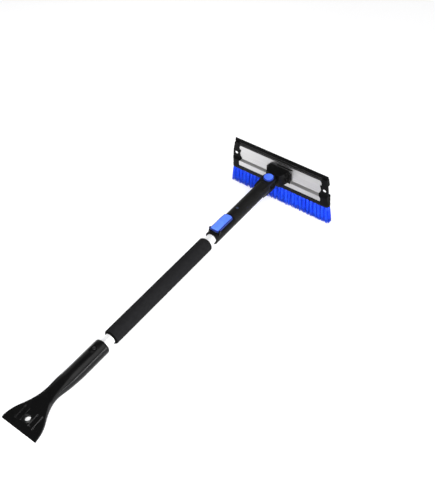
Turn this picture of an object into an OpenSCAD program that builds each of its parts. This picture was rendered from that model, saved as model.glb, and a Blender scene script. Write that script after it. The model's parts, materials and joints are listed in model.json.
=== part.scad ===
// Snow broom: a swivelling brush and squeegee head on a telescoping handle,
// with an ice scraper on the handle's foot.
// Each piece is drawn along its own handle: X runs up the handle from the swivel
// axis, Z is the swivel axis. laid() then rests the whole broom on its bristles
// and on the lip of the scraper, with the origin under the middle of the broom.

/* [Head plate] */
// Length of the aluminium head plate
plate_w = 249; // [220:1:280]
// Distance from the swivel axis to the middle of the head plate
head_offset = 53; // [51:0.5:60]
// Height of the plate's top edge above the middle of the swivel
plate_top = 28; // [26:0.5:34]
// Depth of the plate's bottom edge below the middle of the swivel
plate_bottom = 34.5; // [34:0.5:40]
// Thickness of the plate's web
web_t = 3; // [2.4:0.1:3.6]
// How far the web lies in front of the middle of the plate's channels
web_forward = 3; // [0:0.25:4]
// Width over the channel that holds the brush
brush_channel_w = 19; // [17.5:0.5:22]
// Height of the channel that holds the brush
brush_channel_h = 15; // [13:0.2:15.4]
// Width over the channel that holds the squeegee
blade_channel_w = 10; // [9.6:0.2:11]
// Height of the channel that holds the squeegee
blade_channel_h = 9; // [8:0.5:10]
// Wall of both channels
channel_wall = 1.8; // [1.4:0.1:2.2]
// Length of the dark strip set on the front of the squeegee's channel
strip_l = 45; // [30:1:60]
// Height of that strip
strip_h = 2.4; // [1.4:0.1:3]
// Thickness of that strip
strip_t = 1.2; // [0.8:0.1:1.6]
// Distance of that strip's middle from the middle of the plate
strip_off = 16.5; // [0:0.5:20]

/* [Brush] */
// How far the brush runs past each end of the plate
brush_over = 24; // [18:0.5:30]
// Height of the brush back below the plate, between the end caps
brush_step_h = 6.5; // [4:0.5:9]
// Height of the brush back's foot, which runs on under the end caps
brush_foot_h = 6.5; // [5:0.5:9]
// Free length of the bristles
bristle_l = 53.5; // [45:0.5:65]
// Distance between neighbouring tufts
tuft_pitch = 11.8; // [10.6:0.1:12.4]
// Radius of a tuft
tuft_r = 6.6; // [6.4:0.1:7.4]
// Distance between the two rows of tufts
tuft_row_gap = 8; // [6:0.5:10]

/* [Squeegee] */
// How far the rubber blade runs past each end of the plate
blade_over = 14; // [10:0.5:15]
// Thickness of the strip that holds the rubber
carrier_t = 7; // [6:0.5:8]
// Height of the strip above the plate
carrier_h = 9; // [8:0.5:12]
// Thickness of the rubber blade
blade_t = 2.8; // [2:0.1:3.4]
// Height of the rubber blade above its strip
blade_h = 9; // [7:0.5:14]

/* [End caps] */
// Depth of an end cap from front to back, beside the web
cap_t = 12; // [11:0.5:13]
// Thickness of an end cap's face, round the hanging hole
cap_face_t = 2; // [1.6:0.1:3]
// Depth of the rim along an end cap's outer edge
cap_rim_h = 5; // [3:0.5:6]
// Width of that rim
cap_rim = 1.8; // [1.4:0.1:2.4]
// Wall of an end cap outside the plate's channels
cap_wall = 1.3; // [1:0.1:2]
// How far the lower claw of an end cap laps over the plate
cap_claw = 6.8; // [4:0.2:8]
// Length of an end cap along the head, at its top
cap_top_l = 13.5; // [10:0.5:15]
// Length of an end cap along the head, beside its hole
cap_mid_l = 18.5; // [17.5:0.5:19]
// Diameter of the hole in each end cap
cap_hole_d = 9.6; // [6:0.2:10]
// Distance from the end of the plate to the middle of that hole
cap_hole_in = 9; // [7:0.2:10]
// Height of that hole above the middle of the swivel
cap_hole_z = 1; // [-2:0.5:4]

/* [Swivel] */
// Radius of the fork's ears
ear_r = 17; // [16.5:0.25:18]
// Distance between the outer faces of the ears
fork_h = 28; // [27:0.5:30]
// Radius of the bracket's knuckle
knuckle_r = 15.5; // [14:0.25:16]
// Height of the knuckle between the ears
knuckle_h = 12; // [10:0.5:12.5]
// Diameter of the swivel bolt
axle_d = 8; // [6:0.5:9]
// Diameter of the swivel bolt's head
axle_head_d = 13; // [11:0.5:14]
// Thickness of the swivel bolt's head
axle_head_h = 1.6; // [1:0.1:2]
// Across-corners size of the nut
nut_d = 14; // [12:0.5:15]
// Thickness of the nut
nut_h = 3.6; // [3:0.1:4]
// Thickness of each swivel washer
washer_t = 0.8; // [0.5:0.1:1]
// Diameter of each swivel washer
washer_d = 24; // [18:1:26]
// Diameter of the release button
button_d = 26; // [24:0.5:27]
// Height of the release button
button_h = 5.2; // [4.5:0.1:6]
// Travel of the release button
button_travel = 3; // [2:0.1:3.2]
// Wall of the release button
button_wall = 1.8; // [1.2:0.1:2]
// Wire diameter of the button's spring
spring_wire = 1.1; // [0.8:0.1:1.3]

/* [Bracket] */
// Half width of the bracket on the plate
bracket_half = 36; // [32:0.5:40]
// Half width of the bracket beside the fork
bracket_nose_half = 20; // [18:0.5:24]
// Height of the bracket's top above the middle of the swivel
bracket_top = 14; // [12:0.5:15]
// Depth of the bracket's underside below the middle of the swivel
bracket_low = 22; // [19:0.5:24]
// Length of the cut at the bracket's upper corners
bracket_cut = 8; // [5:0.5:9]
// Thickness of the bracket's pad on the plate
bracket_pad_t = 5; // [4:0.5:8]
// Wall of the bracket
bracket_wall = 2.6; // [2:0.1:3.2]
// Diameter of the bracket's screws
bracket_screw_d = 4; // [3:0.5:5]

/* [Neck] */
// Diameter of the neck
neck_d = 34.5; // [32:0.5:36]
// Length from the swivel axis to the end of the neck
neck_l = 160; // [140:1:180]
// Length of inner tube held in the neck
neck_grip_l = 98; // [80:1:110]
// Distance of the neck's screw from the end of the neck
neck_screw_in = 28; // [20:1:40]

/* [Handle tubes] */
// Outside diameter of the outer tube
outer_d = 25; // [24.5:0.1:25.5]
// Outside diameter of the inner tube
inner_d = 20; // [19.5:0.1:20.2]
// Wall of both tubes
tube_wall = 1.4; // [1.2:0.1:1.6]
// How far the handle extends
travel = 350; // [200:5:360]
// Length of the guide bush
bush_l = 30; // [20:1:36]
// Depth of the groove along the outer tube
groove_depth = 0.5; // [0.3:0.1:0.7]

/* [Clamp] */
// Length of the clamp housing
housing_l = 75; // [72:1:90]
// Diameter of the clamp housing
housing_d = 34; // [33:0.5:36]
// Width over the ears that hold the lever's pin
lever_ear_w = 31; // [30:0.5:32]
// Length of outer tube held in the clamp housing
tube_in_housing = 39; // [35:1:44]
// Length of the clamp lever
lever_l = 62.4; // [60:0.4:64]
// Width of the clamp lever
lever_w = 24; // [21:0.5:24]
// Height of the lever's free end above the handle's axis
lever_nose_z = 17.4; // [16:0.1:18]
// Height of the lever's pin above the handle's axis
pin_z = 16.2; // [16:0.05:16.5]
// Diameter of the lever's pin
pin_d = 3; // [2.4:0.2:3.4]
// Radius of the lever's cam
cam_r = 4; // [3.8:0.05:4.1]
// Half width of the brake shoe
shoe_half = 4.6; // [3:0.2:4.8]
// Length of the brake shoe
shoe_l = 11; // [8:0.5:12]

/* [Grip] */
// Length of outer tube that shows above the grip
show_top_l = 20; // [5:1:60]
// Length of the foam grip
grip_l = 330; // [200:5:345]
// Diameter of the foam grip
grip_d = 36.5; // [32:0.5:40]
// Radius of the grip's rounded ends
grip_round = 5; // [2:0.5:8]
// Length of outer tube that shows below the grip
show_low_l = 21; // [5:1:60]

/* [Ice scraper] */
// Length of the scraper from its rim to its lip
scraper_l = 241; // [230:1:245]
// Diameter of the scraper's socket
socket_d = 37; // [35:0.5:38.5]
// Length of outer tube held in the socket
tube_in_socket = 94; // [74:1:96]
// Distance from the rim to the narrowest part of the scraper
waist_s = 144; // [138:1:148]
// Width of the scraper at its waist
waist_w = 31.6; // [30:0.2:34]
// Distance from the rim to the steepest part of the flare
flare_s = 199; // [194:1:204]
// Width of the scraper at the steepest part of the flare
flare_w = 70; // [66:0.5:74]
// Width of the scraper's lip
lip_w = 96; // [90:0.5:104]
// Thickness of the blade just behind the lip
lip_t = 4.2; // [3.6:0.1:5]
// Depth of the lip's underside below the handle's axis
lip_low = 1.5; // [0:0.1:2.5]
// Length of the bevel at the lip
bevel_l = 6; // [4:0.5:9]
// Diameter of the hanging hole
hang_d = 13; // [11:0.5:14]
// Distance from the lip to the middle of the hanging hole
hang_in = 27; // [24:0.5:32]
// Height of the collar round the hanging hole
hang_collar_h = 6.6; // [6.5:0.1:7.4]
// Length of the longer stiffening ribs beside the hole
rib_l = 30; // [26:1:32]
// Distance between neighbouring ribs
rib_pitch = 12; // [10:0.5:13]
// Distance of the scraper's screw from the rim
scraper_screw_in = 24.5; // [20:0.5:40]

/* [Fits] */
// Clearance between pieces that move against each other
move_gap = 0.3; // [0.25:0.05:0.4]
// Clearance of a pin in its bore, on the radius
pin_gap = 0.08; // [0.04:0.01:0.1]
// Clearance of a piece that is seated in another
seat_gap = 0.1; // [0.05:0.01:0.15]

/* [Hidden] */
$fn = 64;
eps = 0.01;

// Stations along the handle, from the swivel down to the lip
neck_x = -neck_l;
clamp_x1 = neck_x - move_gap;
clamp_x0 = clamp_x1 - housing_l;
grip_x1 = clamp_x0 - show_top_l;
grip_x0 = grip_x1 - grip_l;
rim_x = grip_x0 - show_low_l;
lip_x = rim_x - scraper_l;
outer_x1 = clamp_x0 + tube_in_housing;
outer_x0 = rim_x - tube_in_socket;
inner_x1 = neck_x + neck_grip_l;
// The inner tube stays this far off the foot of the outer tube
inner_foot_gap = 55;
inner_x0 = outer_x0 + inner_foot_gap;

// Radii of the tubes and of the bores that take them
outer_r = outer_d / 2;
outer_bore_r = outer_r - tube_wall;
inner_r = inner_d / 2;
inner_bore_r = inner_r - tube_wall;

// Lengths of the brush and of the squeegee
brush_w = plate_w + 2 * brush_over;
blade_w = plate_w + 2 * blade_over;

// Faces of the web, from the middle of the plate's channels
web_front = -web_forward - web_t / 2;
web_back = web_t / 2 - web_forward;
plate_front = head_offset + web_front;

// Head profile heights, from the middle of the swivel
brush_half = brush_channel_w / 2;
blade_half = blade_channel_w / 2;
brush_flare = 5.6;
blade_flare = 3;
brush_shoulder_z = brush_channel_h - plate_bottom;
blade_shoulder_z = plate_top - blade_channel_h;
channel_lip = 2.6;
lip_in = 1.5;
cap_low_z = -plate_bottom - brush_step_h;
foot_z = cap_low_z - brush_foot_h;
tip_z = foot_z - bristle_l;
carrier_z = plate_top + carrier_h;
tuft_count = floor((brush_w - 2 * tuft_r) / tuft_pitch) + 1;
tuft_depth = tuft_row_gap / 2 + tuft_r;

// Swivel heights
slot_half = knuckle_h / 2 + washer_t + pin_gap;
fork_half = fork_h / 2;
fork_run = 26;
button_r = button_d / 2;
button_floor = slot_half + 2.4;
button_z = button_floor + button_travel + move_gap;
arm_x = ear_r + 0.5;

// Half thickness of an end cap, and the edges of its face beyond the plate's end
cap_half = cap_t / 2;
cap_top_z = carrier_z - move_gap;
cap_outer = [
    [cap_top_l, cap_top_z - 3],
    [cap_mid_l, cap_hole_z + 6],
    [cap_mid_l + 1.4, cap_hole_z - 11.7],
    [brush_over - 4, brush_shoulder_z - 5],
    [brush_over - 1, cap_low_z]
];
cap_inner = [
    [3, cap_low_z],
    [1, brush_shoulder_z - 4],
    [-cap_claw, brush_shoulder_z + 6.6],
    [3.8 - cap_claw, cap_hole_z - 8.8],
    [-0.6, cap_hole_z],
    [2.5 - cap_claw, cap_hole_z + 11.6],
    [0.5, cap_hole_z + 14],
    [-0.8, plate_top - 3],
    [-4, plate_top],
    [seat_gap, plate_top],
    [seat_gap, cap_top_z]
];

// Clamp lever and cam
pin_x = clamp_x0 + 14.4;
heel = 3.8;
lever_x0 = pin_x - heel;
lever_x1 = lever_x0 + lever_l;
lever_top = pin_z + 3.4;
lever_slope_l = 22;
lever_under = outer_r + 0.9;
cam_z = pin_z - cam_r;
pin_ear_r = 3.3;
cam_room = 5.5;
ear_foot_z = 6.5;
shoe_top = cam_z - move_gap;
shoe_x0 = pin_x - shoe_l / 2;
window_x0 = shoe_x0 - 0.6;
window_x1 = shoe_x0 + shoe_l + 0.6;

// Scraper heights
socket_r = socket_d / 2;
hang_x = lip_x + hang_in;

// Pose at rest: bristle tips and scraper lip on the ground
tip_x = head_offset - tuft_depth;
rest_tilt = atan((-tip_z - lip_low) / (tip_x - lip_x));
rest_lift = lip_low * cos(rest_tilt) - lip_x * sin(rest_tilt);
front_x = (head_offset + tuft_depth) * cos(rest_tilt) - tip_z * sin(rest_tilt);
rest_shift = -(front_x + lip_x * cos(rest_tilt)) / 2;

// ---- helpers ----------------------------------------------------------------

module laid() {
    translate([rest_shift, 0, rest_lift]) rotate([0, -rest_tilt, 0]) children();
}

module rod_x(r, x0, x1) {
    translate([x0, 0, 0]) rotate([0, 90, 0]) cylinder(r = r, h = x1 - x0);
}

module rod_y(r, half, x, z) {
    translate([x, half, z]) rotate([90, 0, 0]) cylinder(r = r, h = 2 * half);
}

module block(lo, hi) {
    translate(lo) cube(hi - lo);
}

// An outline in X and Z, carried along Y to both sides
module along_y(half) {
    translate([0, half, 0]) rotate([90, 0, 0]) linear_extrude(2 * half) children();
}

// An outline in Y and Z, carried along X
module along_x(x0, x1) {
    translate([x0, 0, 0]) rotate([90, 0, 90]) linear_extrude(x1 - x0) children();
}

// A half outline on the positive side, closed by its mirror image
function both_sides(points) = concat(
    points, [for (i = [len(points) - 1:-1:0]) [-points[i][0], points[i][1]]]
);

// A smooth step from y0 to y1 between x0 and x1, with slopes k0 and k1
function ease(x, x0, y0, k0, x1, y1, k1) =
    let (span = x1 - x0, t = (x - x0) / span, a = t * t * t, b = t * t)
    y0 * (2 * a - 3 * b + 1) + k0 * span * (a - 2 * b + t)
    + y1 * (3 * b - 2 * a) + k1 * span * (a - b);

// A pan head screw along Z with the underside of its head at z = 0
module screw(d, shank_l, head_d, head_h) {
    translate([0, 0, -shank_l]) cylinder(d = d, h = shank_l + eps);
    difference() {
        cylinder(d = head_d, h = head_h);
        for (a = [0, 90]) {
            rotate(a) translate([-head_d / 4, -0.5, head_h / 2]) cube([head_d / 2, 1, head_h]);
        }
    }
}

// ---- head -------------------------------------------------------------------

// Outside of the extrusion, without its channels
module plate_outside() {
    polygon([
        [-brush_half, -plate_bottom],
        [brush_half, -plate_bottom],
        [brush_half, brush_shoulder_z],
        [web_back, brush_shoulder_z + brush_flare],
        [web_back, blade_shoulder_z - blade_flare],
        [blade_half, blade_shoulder_z],
        [blade_half, plate_top],
        [-blade_half, plate_top],
        [-blade_half, blade_shoulder_z],
        [web_front, blade_shoulder_z],
        [web_front, brush_shoulder_z + brush_flare],
        [-brush_half, brush_shoulder_z]
    ]);
}

// Room inside the brush channel, which narrows at its mouth
module brush_room(gap) {
    half = brush_half - channel_wall - gap;
    polygon(both_sides([
        [half - lip_in, -plate_bottom - eps],
        [half - lip_in, -plate_bottom + channel_lip + gap],
        [half, -plate_bottom + channel_lip + gap],
        [half, brush_shoulder_z - channel_wall - gap]
    ]));
}

// Room inside the squeegee channel, which narrows at its mouth
module blade_room(gap) {
    half = blade_half - channel_wall / 2 - gap;
    polygon(both_sides([
        [half, blade_shoulder_z + channel_wall / 2 + gap],
        [half, plate_top - channel_lip - gap],
        [half - lip_in, plate_top - channel_lip - gap],
        [half - lip_in, plate_top + eps]
    ]));
}

module bracket_screw_places() {
    for (y = [-1, 1]) for (z = [-1, 1]) {
        translate([head_offset, y * (bracket_half - bracket_cut - 2), z * 8]) children();
    }
}

module head_plate() {
    color("gainsboro") laid() difference() {
        translate([head_offset, 0, 0]) along_y(plate_w / 2) difference() {
            plate_outside();
            brush_room(0);
            blade_room(0);
        }
        bracket_screw_places() {
            rod_x(bracket_screw_d / 2 + seat_gap, web_front - 1, web_back + 1);
        }
    }
}

module plate_strip() {
    x0 = head_offset - blade_half - strip_t;
    z0 = blade_shoulder_z + 0.6;
    color("#1c1c1e") laid() block(
        [x0, -strip_off - strip_l / 2, z0],
        [x0 + strip_t, strip_l / 2 - strip_off, z0 + strip_h]
    );
}

module brush_back() {
    color("#1b1b1c") laid() translate([head_offset, 0, 0]) {
        along_y(plate_w / 2) {
            brush_room(seat_gap);
            translate([-brush_half, cap_low_z]) square([brush_channel_w, brush_step_h]);
        }
        // The foot runs on past the plate, under the end caps, to the last tufts
        along_y(brush_w / 2 - brush_half) translate([-brush_half, foot_z]) {
            square([brush_channel_w, brush_foot_h]);
        }
        for (side = [-1, 1]) {
            translate([0, side * (brush_w / 2 - brush_half), foot_z]) {
                cylinder(r = brush_half, h = brush_foot_h);
            }
        }
    }
}

module bristles() {
    color("#1f8ef0") laid() translate([head_offset, 0, tip_z]) {
        linear_extrude(bristle_l) for (i = [0:tuft_count - 1]) for (row = [-1, 1]) {
            y = (i - (tuft_count - 1) / 2) * tuft_pitch;
            translate([row * tuft_row_gap / 2, y]) circle(r = tuft_r, $fn = 32);
        }
    }
}

module squeegee_carrier() {
    slot_z = plate_top + carrier_h / 3;
    color("#202022") laid() translate([head_offset, 0, 0]) {
        along_y(plate_w / 2) blade_room(seat_gap);
        along_y(plate_w / 2) difference() {
            union() {
                translate([-blade_half, plate_top]) square([blade_channel_w, carrier_h / 3]);
                translate([-carrier_t / 2, plate_top]) square([carrier_t, carrier_h]);
            }
            translate([-blade_t / 2 - seat_gap, slot_z]) {
                square([blade_t + 2 * seat_gap, carrier_h]);
            }
        }
    }
}

module squeegee_blade() {
    root_z = plate_top + carrier_h / 3;
    edge_z = carrier_z + blade_h;
    bead = blade_t / 2 + 1.2;
    color("#2b2b2d") laid() translate([head_offset, 0, 0]) {
        along_y(plate_w / 2) translate([-blade_t / 2, root_z]) {
            square([blade_t, carrier_z + blade_h / 8 - root_z]);
        }
        along_y(blade_w / 2) polygon(both_sides([
            [bead, carrier_z + seat_gap],
            [bead, carrier_z + blade_h / 4],
            [blade_t / 2, carrier_z + blade_h / 3],
            [blade_t / 2, edge_z - 2],
            [blade_t / 4, edge_z]
        ]));
    }
}

// Plan of an end cap, which is rounded like the end of the brush back below it
module cap_plan() {
    corner = brush_half + cap_wall;
    corner_y = (plate_w / 2) + brush_over - 1 - corner;
    polygon(concat(
        [[corner, 0], [-corner, 0]],
        [for (a = [180:-15:0]) [corner * cos(a), corner_y + corner * sin(a)]]
    ));
}

// The cap on the +Y end. Its inner edge is scalloped round the hanging hole.
module end_cap() {
    end_y = plate_w / 2;
    hollow_low = brush_shoulder_z + 3;
    hollow_top = blade_shoulder_z - 2;
    outer_y = end_y - cap_rim;
    difference() {
        intersection() {
            along_x(-brush_channel_w, brush_channel_w) translate([end_y, 0]) {
                polygon(concat(cap_inner, [[cap_top_l - 0.8, cap_top_z]], cap_outer));
            }
            along_y(end_y + brush_over) polygon(both_sides([
                [brush_half + cap_wall, cap_low_z],
                [brush_half + cap_wall, brush_shoulder_z + cap_wall],
                [cap_half, brush_shoulder_z + brush_flare + cap_wall],
                [cap_half, carrier_z]
            ]));
            translate([0, 0, cap_low_z]) linear_extrude(carrier_z - cap_low_z) cap_plan();
        }
        along_y(end_y + seat_gap) plate_outside();
        // Hollow behind the face, between the two ends of the cap
        along_x(cap_face_t - cap_half, brush_channel_w) polygon([
            [end_y - 2 * cap_claw, hollow_low],
            [end_y - 2 * cap_claw, hollow_top],
            [outer_y + cap_mid_l - 2, hollow_top],
            [outer_y + cap_mid_l, cap_hole_z + 6],
            [outer_y + cap_mid_l + 1.4, cap_hole_z - 11.7],
            [outer_y + cap_mid_l + 1.6, hollow_low]
        ]);
        block(
            [cap_rim_h - cap_half, end_y, hollow_low],
            [brush_channel_w, end_y + brush_over, hollow_top]
        );
        translate([0, end_y + cap_hole_in, cap_hole_z]) rod_x(cap_hole_d / 2, -cap_t, 0);
    }
}

module end_cap_left() {
    color("#222224") laid() translate([head_offset, 0, 0]) end_cap();
}

module end_cap_right() {
    color("#222224") laid() translate([head_offset, 0, 0]) mirror([0, 1, 0]) end_cap();
}

// Plan of the bracket from the fork to the plate, drawn in by one wall if hollow
module bracket_plan(inset) {
    x0 = arm_x + inset;
    x1 = plate_front - bracket_pad_t;
    y0 = bracket_nose_half - inset;
    y1 = bracket_half - bracket_cut - inset;
    polygon([[x0, -y0], [x0, y0], [x1, y1], [x1, -y1]]);
}

module pivot_bracket() {
    pad_x = plate_front - bracket_pad_t;
    boss_r = bracket_screw_d / 2 + 2;
    color("#1d1d1f") laid() difference() {
        union() {
            cylinder(r = knuckle_r, h = knuckle_h, center = true);
            block([0, -knuckle_r + 2, -knuckle_h / 2], [arm_x + 2, knuckle_r - 2, knuckle_h / 2]);
            difference() {
                translate([0, 0, -bracket_low]) linear_extrude(bracket_low + bracket_top) {
                    bracket_plan(0);
                }
                // The bracket is a shell, open below, with one rib down its middle
                translate([0, 0, -bracket_low - eps]) difference() {
                    linear_extrude(bracket_low + bracket_top - bracket_wall) {
                        bracket_plan(bracket_wall);
                    }
                    block(
                        [0, -bracket_wall / 2, -1],
                        [pad_x + 1, bracket_wall / 2, bracket_low + bracket_top + 1]
                    );
                }
            }
            // Pad on the plate, with its upper corners cut
            along_x(pad_x - eps, plate_front) polygon(both_sides([
                [bracket_half, -bracket_low],
                [bracket_half, bracket_top - bracket_cut],
                [bracket_half - bracket_cut, bracket_top]
            ]));
            // Screw bosses behind the pad
            bracket_screw_places() rod_x(boss_r, pad_x - 8 - head_offset, web_front);
        }
        // The pad's lower edge follows the slope of the brush channel
        translate([head_offset, 0, 0]) along_y(plate_w / 2) plate_outside();
        cylinder(d = axle_d + 2 * pin_gap, h = 2 * fork_h, center = true);
        bracket_screw_places() {
            rod_x(bracket_screw_d / 2 + seat_gap, web_front - bracket_pad_t - 10, 0);
        }
    }
}

module bracket_screws() {
    color("silver") laid() bracket_screw_places() {
        translate([web_back, 0, 0]) rotate([0, 90, 0]) {
            screw(bracket_screw_d, web_t + bracket_pad_t + 3, 2 * bracket_screw_d, 2.4);
        }
    }
}

// ---- neck and swivel --------------------------------------------------------

module neck() {
    r = neck_d / 2;
    screw_x = neck_x + neck_screw_in;
    slot_x = -knuckle_r - 0.8;
    color("#1a1a1c") laid() difference() {
        union() {
            rod_x(r, neck_x, slot_x - 8);
            translate([slot_x - 8, 0, 0]) rotate([0, 90, 0]) {
                cylinder(r1 = r, r2 = fork_half - 0.5, h = 8);
            }
            // The fork: round ears that run back into the neck
            translate([0, 0, -fork_half]) linear_extrude(fork_h) {
                circle(r = ear_r);
                polygon([
                    [0, -ear_r], [0, ear_r], [slot_x, ear_r - 0.4],
                    [slot_x - fork_run, r - 3], [slot_x - fork_run, 3 - r],
                    [slot_x, 0.4 - ear_r]
                ]);
            }
        }
        block([slot_x, -neck_d, -slot_half], [neck_d, neck_d, slot_half]);
        translate([0, 0, button_floor]) cylinder(r = button_r + move_gap, h = fork_h);
        translate([0, 0, -fork_h - button_floor]) cylinder(d = nut_d + 2, h = fork_h);
        cylinder(d = axle_d + 2 * seat_gap, h = 2 * fork_h, center = true);
        rod_x(inner_r + seat_gap, neck_x - 1, inner_x1 + seat_gap);
        // Countersunk place of the screw
        translate([screw_x, 0, r - 2.4]) cylinder(d = 9, h = r);
        translate([screw_x, 0, 0]) cylinder(d = 4 + 2 * seat_gap, h = 2 * r);
    }
}

module neck_screw() {
    color("#3a3a3c") laid() translate([neck_x + neck_screw_in, 0, neck_d / 2 - 2.4]) {
        screw(4, neck_d / 2 - 2.4 - inner_bore_r, 7.6, 1.8);
    }
}

module pivot_axle() {
    foot = button_floor + nut_h;
    color("silver") laid() {
        translate([0, 0, -foot]) cylinder(d = axle_d, h = foot + button_floor + eps);
        translate([0, 0, button_floor]) cylinder(d = axle_head_d, h = axle_head_h);
    }
}

module axle_nut() {
    color("silver") laid() translate([0, 0, -button_floor - nut_h]) difference() {
        cylinder(d = nut_d, h = nut_h, $fn = 6);
        translate([0, 0, -eps]) cylinder(d = axle_d + 2 * seat_gap, h = nut_h + 1);
    }
}

module swivel_washers() {
    color("whitesmoke") laid() for (side = [-1, 1]) {
        translate([0, 0, side * (slot_half - washer_t / 2)]) difference() {
            cylinder(d = washer_d, h = washer_t, center = true);
            cylinder(d = axle_d + 2 * seat_gap, h = 2 * washer_t, center = true);
        }
    }
}

// The coil, as a round wire carried along a helix between its two flat ends
module pivot_spring() {
    turns = 2.5;
    per_turn = 16;
    sides = 6;
    wire_r = spring_wire / 2;
    coil_r = (axle_head_d + button_d - 2 * button_wall) / 4;
    z0 = button_floor + wire_r;
    z1 = button_z + button_h - button_wall - wire_r;
    rings = turns * per_turn;
    points = [
        for (i = [0:rings]) for (j = [0:sides - 1])
            let (
                a = i * 360 / per_turn,
                b = j * 360 / sides,
                r = coil_r + wire_r * cos(b),
                z = z0 + (z1 - z0) * i / rings + wire_r * sin(b)
            )
            [r * cos(a), r * sin(a), z]
    ];
    walls = [
        for (i = [0:rings - 1]) for (j = [0:sides - 1])
            let (k = (j + 1) % sides, a = i * sides, b = (i + 1) * sides)
            [a + j, a + k, b + k, b + j]
    ];
    ends = [
        [for (j = [sides - 1:-1:0]) j],
        [for (j = [0:sides - 1]) rings * sides + j]
    ];
    color("silver") laid() polyhedron(points, concat(walls, ends));
}

module pivot_button() {
    color("#2f9bff") laid() translate([0, 0, button_z]) difference() {
        union() {
            cylinder(r = button_r, h = button_h - 1);
            translate([0, 0, button_h - 1]) cylinder(r1 = button_r, r2 = button_r - 1.2, h = 1);
        }
        translate([0, 0, -eps]) {
            cylinder(r = button_r - button_wall, h = button_h - button_wall + eps);
        }
    }
}

module inner_tube() {
    color("#d9dadc") laid() difference() {
        rod_x(inner_r, inner_x0, inner_x1);
        rod_x(inner_bore_r, inner_x0 - 1, inner_x1 + 1);
        translate([neck_x + neck_screw_in, 0, 0]) cylinder(d = 4 + 2 * seat_gap, h = inner_d);
    }
}

// A sleeve and end plug on the foot of the inner tube, running in the outer tube
module guide_bush() {
    plug_l = 4;
    color("#2c2c2e") laid() difference() {
        rod_x(outer_bore_r - pin_gap, inner_x0 - plug_l, inner_x0 + bush_l);
        rod_x(inner_r + seat_gap, inner_x0, inner_x0 + bush_l + 1);
    }
}

// ---- clamp ------------------------------------------------------------------

// Plan of the lever: a bar with a blunt round end towards the head
module lever_plan(gap) {
    half = lever_w / 2;
    end_r = lever_w * 2 / 3;
    spread = asin(half / end_r);
    polygon(concat(
        [[lever_x0 - gap, half + gap], [lever_x0 - gap, -half - gap]],
        [for (i = [-6:6]) let (a = i * spread / 6, r = end_r + gap) [
            lever_x1 - end_r + r * cos(a),
            r * sin(a) + (abs(i) == 6 ? sign(i) * gap / 4 : 0)
        ]]
    ));
}

module clamp_housing() {
    housing_r = housing_d / 2;
    seat_z = lever_under - move_gap;
    seat_x = pin_x - cam_room;
    ear_side = lever_w / 2 + move_gap;
    color("#19191b") laid() difference() {
        union() {
            difference() {
                rod_x(housing_r, clamp_x0, clamp_x1);
                // Flat seat of the lever, and the round end of its pocket
                block([seat_x, -housing_d, seat_z], [lever_x1 - 5, housing_d, housing_d]);
                block([clamp_x0 - 1, -housing_d, housing_r - 2], [seat_x + 1, housing_d, housing_d]);
                translate([0, 0, seat_z]) linear_extrude(housing_d) {
                    lever_plan(move_gap + 0.4);
                }
                // Finger scoop at the free end of the lever
                translate([lever_x1 - 1, 0, housing_r + 3.5]) sphere(r = 7.5);
            }
            // Ears that hold the lever's pin
            along_y(lever_ear_w / 2) {
                polygon([
                    [pin_x - 6, ear_foot_z],
                    [pin_x + 6, ear_foot_z],
                    [pin_x + pin_ear_r * 0.9, pin_z],
                    [pin_x - pin_ear_r * 0.9, pin_z]
                ]);
            }
            rod_y(pin_ear_r, lever_ear_w / 2, pin_x, pin_z);
        }
        // Room in which the cam turns
        block([seat_x, -ear_side, cam_z - 0.6], [window_x1, ear_side, housing_d]);
        rod_x(outer_r + seat_gap, clamp_x0 - 1, outer_x1 + seat_gap);
        rod_x(inner_r + move_gap, clamp_x0, clamp_x1 + 1);
        rod_y(pin_d / 2 + seat_gap, housing_d, pin_x, pin_z);
        housing_screw_place() {
            cylinder(d = 3 + 2 * seat_gap, h = housing_d);
            translate([0, 0, housing_r - 2]) cylinder(d = 7, h = 5);
        }
    }
}

// Down through the underside of the housing, into the outer tube
module housing_screw_place() {
    translate([outer_x1 - 8, 0, 0]) rotate([180, 0, 0]) children();
}

module housing_screw() {
    color("#8a8b8d") laid() housing_screw_place() translate([0, 0, housing_d / 2 - 2]) {
        screw(3, housing_d / 2 - 2 - outer_bore_r, 6.2, 1.8);
    }
}

module clamp_lever() {
    color("#3aa0ff") laid() difference() {
        intersection() {
            translate([0, 0, -1]) linear_extrude(2 * housing_d) lever_plan(0);
            along_y(lever_w / 2) union() {
                polygon([
                    [pin_x, lever_under],
                    [lever_x1, lever_under],
                    [lever_x1, lever_nose_z - 0.6],
                    [lever_x1 - 1, lever_nose_z],
                    [lever_x1 - lever_slope_l, lever_nose_z + 1.8],
                    [pin_x + 14, lever_top - 0.5],
                    [pin_x, lever_top],
                    [lever_x0 + 1, lever_top],
                    [lever_x0, lever_top - 1],
                    [lever_x0, pin_z],
                    [pin_x, pin_z]
                ]);
                // The cam lies off the pin's axis by what it lifts when it opens
                translate([pin_x, pin_z - cam_r + heel]) circle(r = heel);
            }
        }
        rod_y(pin_d / 2 + pin_gap, lever_w, pin_x, pin_z);
    }
}

module lever_pin() {
    color("silver") laid() rod_y(pin_d / 2, lever_ear_w / 2 - 0.3, pin_x, pin_z);
}

// The shoe that the cam presses on the inner tube, through the outer tube's window
module brake_shoe() {
    color("#3a3a3c") laid() difference() {
        block([shoe_x0, -shoe_half, 0], [shoe_x0 + shoe_l, shoe_half, shoe_top]);
        rod_x(inner_r + move_gap, shoe_x0 - 1, shoe_x0 + shoe_l + 1);
    }
}

// ---- handle -----------------------------------------------------------------

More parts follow.
